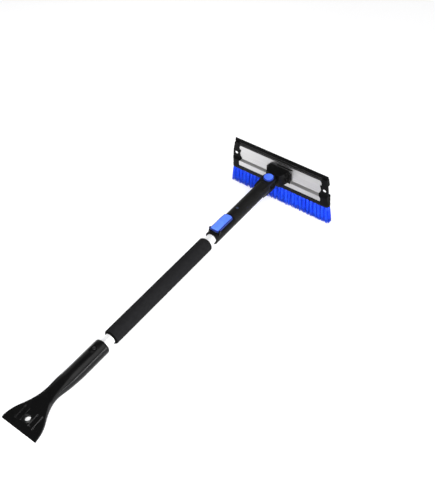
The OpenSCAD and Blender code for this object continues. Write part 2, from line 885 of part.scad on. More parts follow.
module outer_tube() {
    groove_r = 1;
    color("#d9dadc") laid() difference() {
        rod_x(outer_r, outer_x0, outer_x1);
        rod_x(outer_bore_r, outer_x0 - 1, outer_x1 + 1);
        // Window of the brake shoe
        block(
            [window_x0, -shoe_half - seat_gap, 0],
            [window_x1, shoe_half + seat_gap, outer_d]
        );
        // Groove along the side of the tube
        rotate([78, 0, 0]) translate([0, 0, outer_r + groove_r - groove_depth]) {
            rod_x(groove_r, outer_x0 - 1, clamp_x0 - 1);
        }
        housing_screw_place() cylinder(d = 3 + 2 * seat_gap, h = outer_d);
        translate([rim_x - scraper_screw_in, 0, 0]) cylinder(d = 4 + 2 * seat_gap, h = outer_d);
    }
}

module foam_grip() {
    r = grip_d / 2;
    color("#161617") laid() difference() {
        union() {
            rod_x(r, grip_x0 + grip_round, grip_x1 - grip_round);
            rod_x(r - grip_round, grip_x0, grip_x1);
            for (x = [grip_x0 + grip_round, grip_x1 - grip_round]) {
                translate([x, 0, 0]) rotate([0, 90, 0]) {
                    rotate_extrude() translate([r - grip_round, 0]) intersection() {
                        circle(r = grip_round);
                        translate([0, -grip_round]) square(2 * grip_round);
                    }
                }
            }
        }
        rod_x(outer_r + seat_gap, grip_x0 - 1, grip_x1 + 1);
    }
}

// ---- ice scraper ------------------------------------------------------------

// Half width, top and underside of the scraper at the distance s from its rim
socket_s = tube_in_socket + 10;
rim_round = 5;

function rim_in(s) = s < rim_round ? rim_round - sqrt(s * (2 * rim_round - s)) : 0;

// Slope of the scraper's edge at the steepest part of its flare
flare_k = 0.64;
// Where the top and the underside of the blade begin, and the height of the top there
bend_s = waist_s + 13;
bend_z = socket_r - 4.5;
// Where the underside leaves the round of the socket, to stay clear of the ground
rise_run = 20;
rise_s = tube_in_socket - rise_run;

function scraper_half(s) =
    s < socket_s ? socket_r - rim_in(s)
    : s < waist_s ? ease(s, socket_s, socket_r, 0, waist_s, waist_w / 2, 0)
    : s < flare_s ? ease(s, waist_s, waist_w / 2, 0, flare_s, flare_w / 2, flare_k)
    : ease(s, flare_s, flare_w / 2, flare_k, scraper_l, lip_w / 2, 0);

bevel_s = scraper_l - bevel_l;
blade_top = lip_t - lip_low;

function scraper_top(s) =
    s < socket_s ? socket_r - rim_in(s)
    : s < bend_s ? ease(s, socket_s, socket_r, 0, bend_s, bend_z, -0.13)
    : s < bevel_s ? ease(s, bend_s, bend_z, -0.13, bevel_s, blade_top, -0.06)
    : ease(s, bevel_s, blade_top, -0.06, scraper_l, 0.8 - lip_low, -0.5);

function scraper_low(s) =
    s < rise_s ? rim_in(s) - socket_r
    : s < bend_s + 2 ? ease(s, rise_s, -socket_r, 0, bend_s + 2, 0, 0.12)
    : ease(s, bend_s + 2, 0, 0.12, scraper_l, -lip_low, -0.06);

// The section grows from a circle at the socket to a flat bar at the lip
function scraper_power(s) = s < socket_s ? 2 : min(5, 2 + (s - socket_s) / 30);

function bulge(v, n) = sign(v) * pow(abs(v), 2 / n);

module scraper_loft() {
    sides = 40;
    stations = concat(
        [for (a = [0:22.5:90]) rim_round * (1 - cos(a))],
        [rise_s / 2],
        [for (s = [rise_s:5:bevel_s - 3]) s],
        [bevel_s, scraper_l]
    );
    count = len(stations);
    points = [
        for (s = stations) for (j = [0:sides - 1])
            let (
                a = j * 360 / sides,
                n = scraper_power(s),
                mid = (scraper_top(s) + scraper_low(s)) / 2,
                rise = (scraper_top(s) - scraper_low(s)) / 2
            )
            [
                rim_x - s,
                scraper_half(s) * bulge(cos(a), n),
                mid + rise * bulge(sin(a), n)
            ]
    ];
    walls = [
        for (i = [0:count - 2]) for (j = [0:sides - 1])
            let (k = (j + 1) % sides, a = i * sides, b = (i + 1) * sides)
            each [[a + j, b + k, b + j], [a + j, a + k, b + k]]
    ];
    ends = [
        [for (j = [sides - 1:-1:0]) j],
        [for (j = [0:sides - 1]) (count - 1) * sides + j]
    ];
    polyhedron(points, concat(walls, ends));
}

// A stiffening rib along the top of the blade, with round ends
module rib(y, length) {
    rib_r = 1.5;
    s0 = scraper_l - hang_in - 3 - length / 2;
    z0 = scraper_top(s0);
    z1 = scraper_top(s0 + length);
    translate([rim_x - s0 - length, y, z1 - 0.3]) rotate([0, 90 - atan((z0 - z1) / length), 0]) {
        cylinder(r = rib_r, h = length, $fn = 24);
        sphere(r = rib_r, $fn = 24);
        translate([0, 0, length]) sphere(r = rib_r, $fn = 24);
    }
}

module scraper() {
    hole_s = scraper_l - hang_in;
    collar_z = (scraper_top(hole_s) + scraper_low(hole_s) - hang_collar_h) / 2;
    screw_x = rim_x - scraper_screw_in;
    pocket_r = 7;
    pocket_half = 6;
    pocket_z = socket_r - 2;
    rib_y = hang_d / 2 + 4.5;
    color("#1b1b1d") laid() difference() {
        union() {
            scraper_loft();
            translate([hang_x, 0, collar_z]) cylinder(d = hang_d + 5, h = hang_collar_h);
            for (side = [-1, 1]) {
                rib(side * rib_y, rib_l - 4);
                rib(side * (rib_y + rib_pitch), rib_l);
            }
        }
        rod_x(outer_r + seat_gap, outer_x0 - seat_gap, rim_x + 1);
        translate([hang_x, 0, -socket_r]) cylinder(d = hang_d, h = socket_d);
        // Long oval pocket with the screw in its middle
        for (end = [-1, 1]) {
            translate([screw_x + end * pocket_half, 0, pocket_z]) {
                cylinder(r = pocket_r, h = socket_r);
            }
        }
        block(
            [screw_x - pocket_half, -pocket_r, pocket_z],
            [screw_x + pocket_half, pocket_r, 2 * socket_r]
        );
        translate([screw_x, 0, 0]) cylinder(d = 4 + 2 * seat_gap, h = socket_d);
    }
}

module scraper_screw() {
    color("#3a3a3c") laid() translate([rim_x - scraper_screw_in, 0, socket_r - 2]) {
        screw(4, socket_r - 2 - outer_bore_r, 8, 1.7);
    }
}

head_plate();
plate_strip();
brush_back();
bristles();
squeegee_carrier();
squeegee_blade();
end_cap_left();
end_cap_right();
pivot_bracket();
bracket_screws();
neck();
neck_screw();
pivot_axle();
axle_nut();
swivel_washers();
pivot_spring();
pivot_button();
inner_tube();
guide_bush();
clamp_housing();
housing_screw();
clamp_lever();
lever_pin();
brake_shoe();
outer_tube();
foam_grip();
scraper();
scraper_screw();
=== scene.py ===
"""Dresses the packed snow broom: bristles, foam, plastic, aluminium, rubber and its stage."""
import json
import math
import random

import bmesh
import bpy
from bpy.props import FloatProperty, FloatVectorProperty, IntProperty, PointerProperty
from mathutils import Matrix, Vector, noise
from mathutils.bvhtree import BVHTree


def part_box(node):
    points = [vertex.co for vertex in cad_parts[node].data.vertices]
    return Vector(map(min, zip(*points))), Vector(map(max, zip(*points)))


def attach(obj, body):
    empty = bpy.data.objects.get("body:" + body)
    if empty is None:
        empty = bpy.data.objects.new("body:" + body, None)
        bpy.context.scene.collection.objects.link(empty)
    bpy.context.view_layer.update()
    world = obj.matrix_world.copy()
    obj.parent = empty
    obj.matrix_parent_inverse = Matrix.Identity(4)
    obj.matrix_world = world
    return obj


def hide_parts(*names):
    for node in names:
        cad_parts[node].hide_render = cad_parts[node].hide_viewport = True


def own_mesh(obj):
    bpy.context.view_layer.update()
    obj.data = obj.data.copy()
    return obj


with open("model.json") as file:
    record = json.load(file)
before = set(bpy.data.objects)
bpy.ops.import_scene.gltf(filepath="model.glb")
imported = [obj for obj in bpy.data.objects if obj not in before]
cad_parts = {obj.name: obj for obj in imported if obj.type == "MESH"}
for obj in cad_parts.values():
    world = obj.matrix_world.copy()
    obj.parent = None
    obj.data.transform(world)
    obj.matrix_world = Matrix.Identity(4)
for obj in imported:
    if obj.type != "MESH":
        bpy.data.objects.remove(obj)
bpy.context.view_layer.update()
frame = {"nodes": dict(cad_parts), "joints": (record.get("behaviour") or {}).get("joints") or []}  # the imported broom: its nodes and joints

bl_info = {
    "name": "Snow broom dresser",
    "version": (1, 0, 0),
    "blender": (4, 5, 0),
    "location": "3D View > Sidebar > Snow broom",
    "description": "Builds the bristles, foam, scraper and finishes of a telescoping snow broom",
    "category": "Object",
}

NODES = frame["nodes"]
JOINTS = {joint["name"]: joint for joint in frame["joints"]}
MM = 0.001
X, Y, Z = Vector((1, 0, 0)), Vector((0, 1, 0)), Vector((0, 0, 1))
WHITE = (1.0, 1.0, 1.0, 1.0)

# Bristles: how far a tip and a bristle's middle stray from their places, either way
TUFT_SEED = 11
TIP_STRAY = 0.3 * MM
BOW_UP_HANDLE = 0.3 * MM
BOW_ALONG_HEAD = 0.6 * MM
# 0.5 would spread a tuft's bristles evenly, and less crowds them towards its rim
RIM_CROWD = 0.4
# A bristle's shade, from 0 for the deepest to 1 for the lightest, how much it varies from one to
# the next, and how far a whole tuft strays from it
STRAND_SHADE = 0.55
STRAND_SHADE_SPREAD = 0.14
TUFT_SHADE_STRAY = 0.12
# Where a tuft turns from painted highlight in its middle to painted shade at its rim, and how
# much painted shade darkens the roots
RIDGE_LEVEL = 0.35
ROOT_PAINTED_SHADE = 0.30
# Rings and sides of one bristle, and how much thinner its tip is than its root
STRAND_RINGS = 4
STRAND_SIDES = 3
STRAND_TAPER = 0.35

# Foam: room round the tube, how far from the tube it starts to be uneven, and over what length
# the painted shade at its cut ends fades
FOAM_ROOM = 0.1 * MM
FOAM_SMOOTH = 0.5 * MM
END_SHADE_FADE = 1.0 * MM
# Unevenness of the foam per metre
FOAM_WAVES = 110
FOAM_STEPS = 150
FOAM_END_STEPS = 8

# Lever pad: radius of the lever's nose, as a share of the lever's half width, and the angle from
# its middle at which the pad's arc stops
NOSE_TO_HALF = 4 / 3
NOSE_STOP = math.radians(4)
NOSE_STEPS = 12
SIDE_STEPS = 30
CORNER_STEPS = 4
# Radius of the pads' rim, as a share of their height above what carries them
PAD_ROUND = 0.6

# Spring: share of the wire that lies flat at each end
SPRING_FLAT = 0.08
SPRING_SIDES = 10
STEPS_PER_TURN = 40

# Sides of the foam and of the round pad, the least angle of an edge that is rounded, and how near
# points are that count as one
ROUND_SIDES = 96
ROUNDED_FROM = math.radians(35)
SAME_POINT = 0.001 * MM

# Noise: weight of its finer octaves, and the values that count as its darkest and lightest
NOISE_ROUGHNESS = 0.55
NOISE_DARK = 0.3
NOISE_LIGHT = 0.7

# Strength of the studio's own light: on matt surfaces, at the ceiling, and added to the floor
SOFT_LIGHT = 0.42
CEILING_GLOW = 0.08
FLOOR_GLOW = 0.5
# Where the wall starts to dim and where the ceiling is reached, as height on a unit sphere
WALL_TOP = 0.10
CEILING = 0.30
# What metal and gloss see of the floor's glow, and where it changes from right to left
GLOW_RIGHT = 0.15
GLOW_LEFT = 0.80
GLOW_CHANGE = (-0.15, 0.20)
FLOOR_SIZE = 14
# Lamps: name, place, width and height, and watts
LAMPS = (
    ("key", (-1.7, -1.3, 1.9), (1.6, 1.6), 90),
    ("side", (0.2, -1.45, 1.8), (0.8, 1.9), 16),
    ("front", (-2.2, -0.9, 0.6), (0.9, 0.9), 18),
    ("strip", (0.15, -1.5, 0.10), (1.3, 0.10), 12),
    ("rim", (0.40, 1.18, 0.90), (1.5, 0.8), 3),
)
LAMP_AIM = Vector((0, 0, 0.05))
# Camera in the broom's own axes
CAMERA_PLACE = Vector((-1.15033, -0.79182, 1.26980))
CAMERA_AIM = Vector((-0.25088, -0.02911, 0))
CAMERA_ROLL = math.radians(-4.32)
CAMERA_LENS = 54.47


# ---- the broom's own axes -------------------------------------------------------------------


def handle_axes():
    """X up the handle from the swivel, Z along the swivel: the way the broom is drawn in CAD."""
    along = Vector(JOINTS["telescope"]["axis"]).normalized()
    up = Vector(JOINTS["head_swivel"]["axis"]).normalized()
    matrix = Matrix((along, up.cross(along), up)).transposed().to_4x4()
    matrix.translation = Vector(JOINTS["head_swivel"]["pos_m"])
    return matrix


AXES = handle_axes()
TO_AXES = AXES.inverted()


def corners(node):
    """All corners of a CAD node's faces, in the broom's own axes."""
    return [TO_AXES @ vertex.co for vertex in NODES[node].data.vertices]


def reach(node):
    """Lowest and highest corner of a CAD node along the broom's own axes."""
    points = corners(node)
    low = Vector([min(point[i] for point in points) for i in range(3)])
    high = Vector([max(point[i] for point in points) for i in range(3)])
    return low, high


def half_width(node):
    low, high = reach(node)
    return (high.y - low.y) / 2


# ---- settings -------------------------------------------------------------------------------


def length(name, description, default):
    return FloatProperty(
        name=name,
        description=description,
        default=default,
        min=0.0,
        precision=5,
        subtype="DISTANCE",
        unit="LENGTH",
    )


def colour(name, description, default):
    return FloatVectorProperty(
        name=name, description=description, default=default, subtype="COLOR", min=0.0, max=1.0
    )


class BroomSizes(bpy.types.PropertyGroup):
    """Sizes of the dressed pieces"""

    tuft_columns: IntProperty(
        name="Tuft columns", description="Tufts side by side along the head", default=27, min=2
    )
    tuft_rows: IntProperty(
        name="Tuft rows", description="Rows of tufts through the head", default=3, min=1
    )
    strands: IntProperty(
        name="Strands", description="Bristles in each tuft", default=60, min=8
    )
    strand_width: length("Strand width", "Thickness of one bristle", 1.15 * MM)
    tuft_root: length("Tuft root", "Radius of a tuft where it leaves the brush back", 4.5 * MM)
    tuft_tip: length("Tuft tip", "Radius of a tuft at its tips", 7.2 * MM)
    tuft_dome: length("Tuft dome", "How much shorter a tuft's outer bristles are", 0.3 * MM)
    tip_play: length("Tip play", "How unevenly the bristles are trimmed", 0.5 * MM)
    flare: length("Flare", "How far the tips of the end tufts lean out of the brush", 5.5 * MM)
    # Painted highlight along each tuft's middle and painted shade at its rim, between the tufts
    painted_ridge: FloatProperty(
        name="Ridge",
        description="How much lighter a tuft is along its middle",
        default=0.6,
        min=0.0,
        max=1.0,
        subtype="FACTOR",
    )
    foam_round: length("Foam end radius", "Radius of the grip's rounded ends", 5.0 * MM)
    foam_swell: length("Foam swell", "Height of the foam's uneven surface", 0.12 * MM)
    # Length of the painted shade at each end of the foam
    foam_end_shade: length("Foam cut", "Length of the dark edge at each end of the foam", 3.5 * MM)
    rib_zone: length("Rib zone", "Length of the blade that carries the ribs", 70.0 * MM)
    spring_wire: length("Spring wire", "Thickness of the spring's wire", 1.1 * MM)
    spring_turns: FloatProperty(
        name="Spring turns", description="Turns of the button's spring", default=2.5, min=1.0
    )
    spring_play: length("Spring play", "Room over the spring when it is pressed", 0.1 * MM)
    edge: length("Moulded edge", "Radius of the small edges of moulded pieces", 0.6 * MM)
    metal_edge: length("Metal edge", "Radius of the small edges of metal pieces", 0.25 * MM)
    rubber_edge: length("Rubber edge", "Radius of the small edges of the squeegee", 0.3 * MM)
    pad_in: length("Lever pad inset", "Distance of the lever's pad from its sides", 1.8 * MM)
    pad_corner: length("Pad corner", "Radius of the corners at the pad's straight end", 2.0 * MM)
    button_pad_in: length("Button pad inset", "Distance of its pad from the rim", 1.7 * MM)
    pad_rise: length("Pad rise", "Height of the pads above what carries them", 0.4 * MM)


class BroomColours(bpy.types.PropertyGroup):
    """Colours of the finishes"""

    bristle: colour("Bristles", "Colour of the bristles", (0.012, 0.082, 1.0))
    bristle_light: colour("Bristle light", "Colour of the lightest bristles", (0.030, 0.15, 1.0))
    # Painted shade between the tufts and at the roots
    bristle_painted_shade: colour("Bristle deep", "Colour between the tufts", (0.002, 0.022, 0.55))
    lever: colour("Lever pad", "Colour of the pad on the lever", (0.095, 0.205, 1.0))
    # Painted shade: the lever round its pad is darker, standing in for its shaded sides and end
    lever_shade: colour("Lever", "Colour of the lever round its pad", (0.020, 0.036, 0.20))
    button: colour("Button pad", "Colour of the pad on the button", (0.070, 0.160, 0.90))
    # Painted shade: the button round its pad is darker, standing in for its shaded rim
    button_shade: colour("Button", "Colour of the button round its pad", (0.020, 0.045, 0.30))
    black: colour("Black plastic", "Colour of the moulded black pieces", (0.0030, 0.0030, 0.0030))
    # Painted highlight on the carrier's slanting upper edges
    edge_highlight: colour("Highlit edge", "Colour of the carrier's highlit top edge", (0.10, 0.10, 0.10))
    neck: colour("Neck plastic", "Colour of the moulded neck", (0.0075, 0.0075, 0.0075))
    cap: colour("Cap plastic", "Colour of the end caps", (0.0030, 0.0030, 0.0030))
    scraper: colour("Scraper", "Colour of the ice scraper", (0.0030, 0.0030, 0.0031))
    # Painted highlight on the flanks of the scraper's ribs
    rib_highlight: colour("Rib", "Colour of the highlit flanks of the ribs", (0.024, 0.024, 0.0245))
    nylon: colour("Nylon", "Colour of the guide bush and the washers", (0.72, 0.72, 0.69))
    shoe: colour("Brake shoe", "Colour of the brake shoe", (0.05, 0.05, 0.052))
    foam: colour("Foam", "Colour of the foam grip", (0.0100, 0.0100, 0.0108))
    # Painted shade on the foam's rounded ends
    foam_end_shade: colour("Foam cut", "Colour of the foam's cut ends", (0.0010, 0.0010, 0.0010))
    rubber: colour("Rubber", "Colour of the squeegee", (0.0025, 0.0025, 0.0025))
    aluminium: colour("Aluminium", "Colour of the head plate", (0.525, 0.52, 0.52))
    tube: colour("Tube", "Colour of the handle tubes", (0.88, 0.88, 0.89))
    steel: colour("Steel", "Colour of the zinc-plated screws and spring", (0.55, 0.55, 0.57))
    dark_steel: colour("Dark steel", "Colour of the blackened screws", (0.05, 0.05, 0.052))
    blued_steel: colour("Blued steel", "Colour of the neck's screw", (0.08, 0.10, 0.17))
    floor: colour("Floor", "Colour of the floor", (0.62, 0.62, 0.625))


# ---- materials ------------------------------------------------------------------------------


class Nodes:
    """A node tree that is put together step by step."""

    def __init__(self, tree):
        self.tree = tree

    def node(self, kind, **values):
        made = self.tree.nodes.new(kind)
        for key, value in values.items():
            setattr(made, key, value)
        return made

    def feed(self, value, socket):
        """Links an output to a socket, or gives the socket a plain value."""
        if isinstance(value, bpy.types.NodeSocket):
            self.tree.links.new(value, socket)
        else:
            socket.default_value = value

    def coordinates(self, kind):
        return self.node("ShaderNodeTexCoord").outputs[kind]

    def axis(self, vector, name):
        """The X, Y or Z of a vector."""
        split = self.node("ShaderNodeSeparateXYZ")
        self.feed(vector, split.inputs["Vector"])
        return split.outputs[name]

    def combine(self, operation, first, second):
        made = self.node("ShaderNodeMath", operation=operation)
        self.feed(first, made.inputs[0])
        self.feed(second, made.inputs[1])
        return made.outputs["Value"]

    def spread(self, source, low, high, start=0.0, end=1.0):
        """Goes from low to high while the source goes from start to end."""
        made = self.node("ShaderNodeMapRange")
        self.feed(source, made.inputs["Value"])
        self.feed(start, made.inputs["From Min"])
        self.feed(end, made.inputs["From Max"])
        self.feed(low, made.inputs["To Min"])
        self.feed(high, made.inputs["To Max"])
        return made.outputs["Result"]

    def rays(self, *kinds):
        """1 for rays of the kinds, such as Camera or Glossy, and 0 for all others."""
        path = self.node("ShaderNodeLightPath")
        total = path.outputs[f"Is {kinds[0]} Ray"]
        for kind in kinds[1:]:
            total = self.combine("MAXIMUM", total, path.outputs[f"Is {kind} Ray"])
        return total


class Finish(Nodes):
    """A material: plain values on its shader, and patterns laid over them."""

    def __init__(self, name, base, roughness, metallic=0.0, specular=0.5):
        self.material = bpy.data.materials.new(name)
        self.material.use_nodes = True
        super().__init__(self.material.node_tree)
        self.shader = self.tree.nodes["Principled BSDF"]
        self.shader.inputs["Base Color"].default_value = (*base, 1.0)
        self.shader.inputs["Roughness"].default_value = roughness
        self.shader.inputs["Metallic"].default_value = metallic
        self.shader.inputs["Specular IOR Level"].default_value = specular
        self.place = self.coordinates("Object")

    def grid(self, scale):
        """Object coordinates stretched by one scale, or by one for each axis, per metre."""
        mapping = self.node("ShaderNodeMapping")
        each_axis = scale if isinstance(scale, tuple) else (scale, scale, scale)
        mapping.inputs["Scale"].default_value = each_axis
        self.feed(self.place, mapping.inputs["Vector"])
        return mapping.outputs["Vector"]

    def noise(self, scale, detail=3.0):
        made = self.node("ShaderNodeTexNoise")
        made.inputs["Scale"].default_value = 1.0
        made.inputs["Detail"].default_value = detail
        made.inputs["Roughness"].default_value = NOISE_ROUGHNESS
        self.feed(self.grid(scale), made.inputs["Vector"])
        return made.outputs["Fac"]

    def cells(self, scale):
        made = self.node("ShaderNodeTexVoronoi")
        made.inputs["Scale"].default_value = 1.0
        self.feed(self.grid(scale), made.inputs["Vector"])
        return made.outputs["Distance"]

    def carried(self, name):
        """A value that the mesh carries on its points."""
        return self.node("ShaderNodeAttribute", attribute_name=name).outputs["Fac"]

    def ramp(self, source, *stops):
        made = self.node("ShaderNodeValToRGB")
        elements = made.color_ramp.elements
        while len(elements) < len(stops):
            elements.new(0.5)
        for element, (position, rgb) in zip(elements, stops):
            element.position = position
            element.color = (*rgb, 1.0)
        self.feed(source, made.inputs["Fac"])
        return made.outputs["Color"]

    def paint(self, tone):
        """Base colour from a node; returned, so that it can be mixed further."""
        self.feed(tone, self.shader.inputs["Base Color"])
        return tone

    def tint(self, source, base, by):
        """Base colour that drifts by a share around its value."""
        dark = [channel * (1.0 - by) for channel in base]
        light = [min(1.0, channel * (1.0 + by)) for channel in base]
        return self.paint(self.ramp(source, (NOISE_DARK, dark), (NOISE_LIGHT, light)))

    def mixed(self, share, first, second):
        """Base colour that goes from a first colour to a second by a share."""
        mix = self.node("ShaderNodeMix", data_type="RGBA")
        ends = [socket for socket in mix.inputs if socket.type == "RGBA"]
        self.feed(share, mix.inputs["Factor"])
        self.feed(first, ends[0])
        self.feed(second, ends[1])
        return self.paint(next(socket for socket in mix.outputs if socket.type == "RGBA"))

    def rough(self, source, low, high):
        self.feed(self.spread(source, low, high), self.shader.inputs["Roughness"])

    def bump(self, source, height, strength=1.0):
        """Relief of a height in metres, on top of what is there."""
        made = self.node("ShaderNodeBump")
        made.inputs["Distance"].default_value = height
        made.inputs["Strength"].default_value = strength
        self.feed(source, made.inputs["Height"])
        normal = self.shader.inputs["Normal"]
        if normal.is_linked:
            self.feed(normal.links[0].from_socket, made.inputs["Normal"])
        self.feed(made.outputs["Normal"], normal)

    def mould_grain(self, roughness, scale=1500, height=0.05 * MM):
        """Slow changes of gloss about a roughness, and a fine spark-eroded grain."""
        self.rough(self.noise(240, detail=5), low=roughness - 0.05, high=roughness + 0.06)
        self.bump(self.noise(scale, detail=2), height)


def moulded(name, base, roughness, gloss=0.10, **grain):
    """Moulded plastic of one colour."""
    made = Finish(name, base, roughness, specular=gloss)
    made.tint(made.noise(60), base, by=0.18)
    made.mould_grain(roughness, **grain)
    return made.material


def edge_highlight_moulding(name, base, edge_highlight, roughness):
    """Black moulding with a painted highlight on its slanting upper edges."""
    made = Finish(name, base, roughness, specular=0.10)
    facing_up = made.axis(made.coordinates("Normal"), "Z")
    # Painted highlight: faces that slant upwards get a lighter colour
    made.paint(made.ramp(facing_up, (0.70, base), (0.84, edge_highlight), (0.92, edge_highlight), (0.97, base)))
    made.mould_grain(roughness)
    return made.material


def scraper_plastic(base, rib_highlight, rib_zone):
    """Glossy black moulding; the ribs' flanks that face right carry a painted highlight, stronger
    on the right.
    """
    made = Finish("scraper_moulding", base, roughness=0.25, specular=0.16)
    plain = made.tint(made.noise(60), base, by=0.18)
    facing_left = made.spread(made.axis(made.coordinates("Normal"), "Y"), 0.0, 1.0, start=-1.0)
    # Painted highlight on rib flanks that face right, fading towards the left of the blade
    flank_highlight = made.ramp(facing_left, (0.04, base), (0.10, rib_highlight), (0.36, rib_highlight), (0.44, base))
    ribs_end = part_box("scraper")[0].x + rib_zone
    along, across = made.axis(made.place, "X"), made.axis(made.place, "Y")
    on_blade = made.spread(along, 1.0, 0.0, start=ribs_end, end=ribs_end + 5 * MM)
    highlight_strength = made.spread(across, 1.0, 0.15, start=-4 * MM, end=8 * MM)
    made.mixed(made.combine("MULTIPLY", on_blade, highlight_strength), plain, flank_highlight)
    made.mould_grain(0.25, scale=900, height=0.02 * MM)
    return made.material


def aluminium(name, base, roughness, stretch, metallic=1.0):
    """Aluminium with die lines or drawing lines along the direction of least stretch."""
    made = Finish(name, base, roughness, metallic=metallic)
    lines = made.noise(stretch, detail=4)
    made.tint(lines, base, by=0.11)
    made.rough(lines, low=roughness - 0.08, high=roughness + 0.10)
    made.bump(lines, 0.04 * MM, strength=0.6)
    return made.material


def bristle_fibre(shaded, middle, light):
    """Glossy nylon: each strand has its own tone, with painted shade towards its root and between
    the tufts.
    """
    made = Finish("bristle_fibre", middle, roughness=0.38, specular=0.22)
    made.paint(made.ramp(made.carried("strand"), (0.0, shaded), (0.45, middle), (1.0, light)))
    made.rough(made.noise((900, 900, 90)), low=0.30, high=0.48)
    return made.material


def foam_skin(base, cut):
    """Closed-cell foam: matt skin with open pores, and painted shade on its rounded cut ends."""
    made = Finish("foam_skin", base, roughness=0.85, specular=0.06)
    skin = made.tint(made.noise(120, detail=4), base, by=0.16)
    made.mixed(made.carried("end"), skin, (*cut, 1.0))
    made.bump(made.cells(700), 0.16 * MM, strength=0.7)
    made.bump(made.noise(2600, detail=2), 0.06 * MM, strength=0.6)
    made.shader.inputs["Sheen Weight"].default_value = 0.01
    made.shader.inputs["Sheen Roughness"].default_value = 0.5
    return made.material


def rubber(base):
    """Black rubber with a faint grain along the blade."""
    made = Finish("squeegee_rubber", base, roughness=0.55, specular=0.05)
    made.tint(made.noise((80, 30, 80)), base, by=0.2)
    made.rough(made.noise((300, 60, 300), detail=4), low=0.46, high=0.64)
    made.bump(made.noise((1400, 200, 1400)), 0.04 * MM)
    return made.material


def plated(name, base, roughness):
    """Plated, blackened or blued steel, slightly uneven in gloss."""
    made = Finish(name, base, roughness, metallic=1.0)
    made.tint(made.noise(500), base, by=0.12)
    made.rough(made.noise(900, detail=4), low=roughness - 0.08, high=roughness + 0.1)
    made.bump(made.noise(2500), 0.02 * MM)
    return made.material


# ---- making pieces --------------------------------------------------------------------------


def circle(centre, radius, first, second, sides, turn=0.0):
    """Points round a centre, in the plane of two directions, from a first angle on."""
    angles = [turn + 2 * math.pi * side / sides for side in range(sides)]
    return [centre + (first * math.cos(a) + second * math.sin(a)) * radius for a in angles]


def arc(centre, radius, start, end, steps):
    """Flat points along an arc, from one angle to another."""
    angles = [start + (end - start) * step / steps for step in range(steps + 1)]
    return [
        (centre[0] + radius * math.cos(angle), centre[1] + radius * math.sin(angle))
        for angle in angles
    ]


def skin(rings, looped=False):
    """Points and faces over rings of equally many points, with capped or joined ends."""
    sides = len(rings[0])
    points = [point for ring in rings for point in ring]
    faces = []
    for ring in range(len(rings) if looped else len(rings) - 1):
        near, far = ring * sides, (ring + 1) % len(rings) * sides
        for side in range(sides):
            beside = (side + 1) % sides
            faces.append((near + side, near + beside, far + beside, far + side))
    if not looped:
        faces.append(tuple(reversed(range(sides))))
        faces.append(tuple(range(len(points) - sides, len(points))))
    return points, faces


def mesh_of(name, points, faces, smooth=True):
    """A mesh whose faces all look outwards."""
    mesh = bpy.data.meshes.new(name)
    mesh.from_pydata(points, [], faces)
    turned = bmesh.new()
    turned.from_mesh(mesh)
    bmesh.ops.recalc_face_normals(turned, faces=turned.faces)
    turned.to_mesh(mesh)
    turned.free()
    for polygon in mesh.polygons:
        polygon.use_smooth = smooth
    return mesh


def carry(mesh, name, values):
    """Gives each point of a mesh a value that its material reads."""
    mesh.attributes.new(name, "FLOAT", "POINT").data.foreach_set("value", values)


def new_piece(name, mesh, body, material, slot, *replaced):
    """Puts a mesh that was drawn along the broom's axes on its CAD body."""
    mesh.transform(AXES)
    mesh.materials.append(material)
    piece = bpy.data.objects.new(name, mesh)
    bpy.context.scene.collection.objects.link(piece)
    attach(piece, body)
    if replaced:
        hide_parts(*replaced)
    return piece


def small_edges(piece, radius):
    bevel = piece.modifiers.new("small_edges", "BEVEL")
    bevel.width = radius
    bevel.segments = 2
    bevel.limit_method = "ANGLE"
    bevel.angle_limit = ROUNDED_FROM


def dress(material, edge, *nodes):
    """Gives CAD nodes their finish, and small rounded edges as modifiers."""
    for node in nodes:
        piece = NODES[node]
        piece.data.materials.clear()
        piece.data.materials.append(material)
        piece.modifiers.new("weld", "WELD").merge_threshold = SAME_POINT
        if edge > 0:
            small_edges(piece, edge)
        piece.modifiers.new("even_shading", "WEIGHTED_NORMAL").keep_sharp = False


# ---- operators ------------------------------------------------------------------------------


